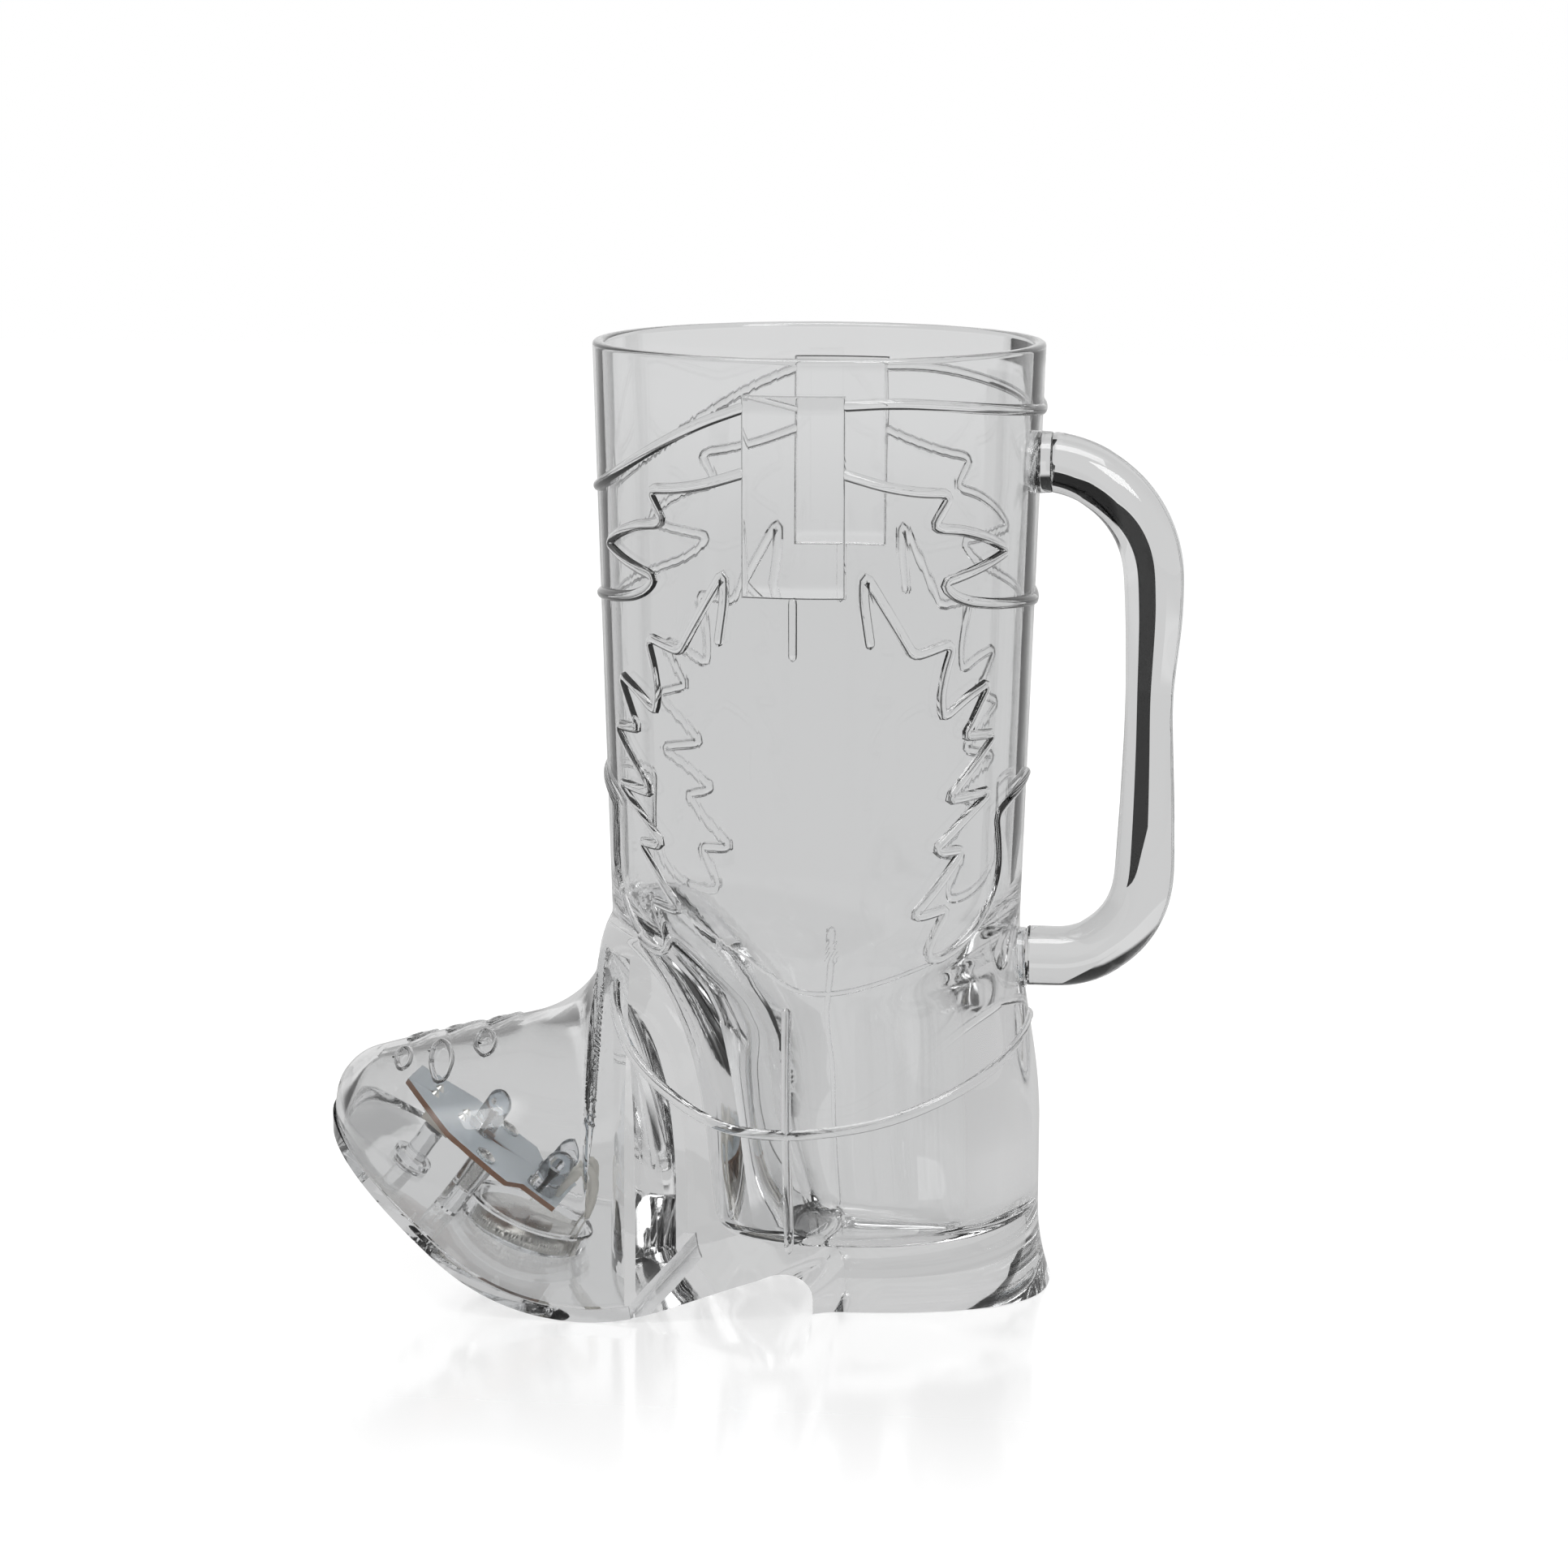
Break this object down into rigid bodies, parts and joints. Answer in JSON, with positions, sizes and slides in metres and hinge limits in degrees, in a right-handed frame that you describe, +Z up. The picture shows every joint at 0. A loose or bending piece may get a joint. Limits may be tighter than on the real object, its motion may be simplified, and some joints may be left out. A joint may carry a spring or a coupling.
{
  "type": "light-up boot cup",
  "caption": "Clear drinking cup shaped like a western boot, with a glued bar handle at the heel side and a push-button light unit sealed in the toe under a sole plate.",
  "frame": {"origin": "middle of the whole boot's box, on the plane it stands on", "axes": "+Z up along the shaft, -X towards the toe, +X towards the handle, -Y is the side that the picture shows"},
  "size_m": [0.1598, 0.0852, 0.178],
  "materials": {
    "shell_plastic": "clear, polished",
    "handle_plastic": "clear, polished",
    "sole_plastic": "clear, polished",
    "cover_plastic": "clear",
    "button_plastic": "clear",
    "board_laminate": "pale board with a brown core",
    "screw_steel": "zinc plated",
    "lamp_lens": "clear epoxy",
    "lead_metal": "tinned",
    "switch_body": "ivory",
    "plunger_plastic": "black",
    "cell_steel": "nickel plated",
    "contact_metal": "nickel plated spring strip",
    "wire_insulation": "ivory insulation"
  },
  "bodies": {
    "cup": {"boot_shell": "shell_plastic", "handle": "handle_plastic", "toe_sole": "sole_plastic", "circuit_board": "board_laminate", "screw_near": "screw_steel", "screw_far": "screw_steel", "lamp_front": "lamp_lens", "lamp_near": "lamp_lens", "lamp_far": "lamp_lens", "lamp_front_leads": "lead_metal", "lamp_near_leads": "lead_metal", "lamp_far_leads": "lead_metal", "tact_switch": "switch_body", "switch_pins": "lead_metal", "coin_cell": "cell_steel", "contact_plus": "contact_metal", "contact_minus": "contact_metal", "wire_plus": "wire_insulation", "wire_minus": "wire_insulation"},
    "button": {"push_button": "button_plastic"},
    "plunger": {"switch_plunger": "plunger_plastic"},
    "cover": {"battery_cover": "cover_plastic"}
  },
  "joints": [
    {"name": "button_press", "type": "slide", "parent": "cup", "child": "button", "axis": [0.6046, 0, 0.7965], "range_m": [0, 0.0005], "stiffness_N_per_m": 1500, "springref_m": -0.0003},
    {"name": "plunger_press", "type": "slide", "parent": "cup", "child": "plunger", "axis": [0.6046, 0, 0.7965], "range_m": [0, 0.0005]},
    {"name": "cover_turn", "type": "hinge", "parent": "cup", "child": "cover", "pos_m": [-0.04547, 0, 0.00415], "axis": [0.4067, 0, 0.9135], "range_deg": [0, 50]}
  ],
  "couplings": [
    {"joint": "plunger_press", "follows": "button_press", "ratio": 1}
  ]
}
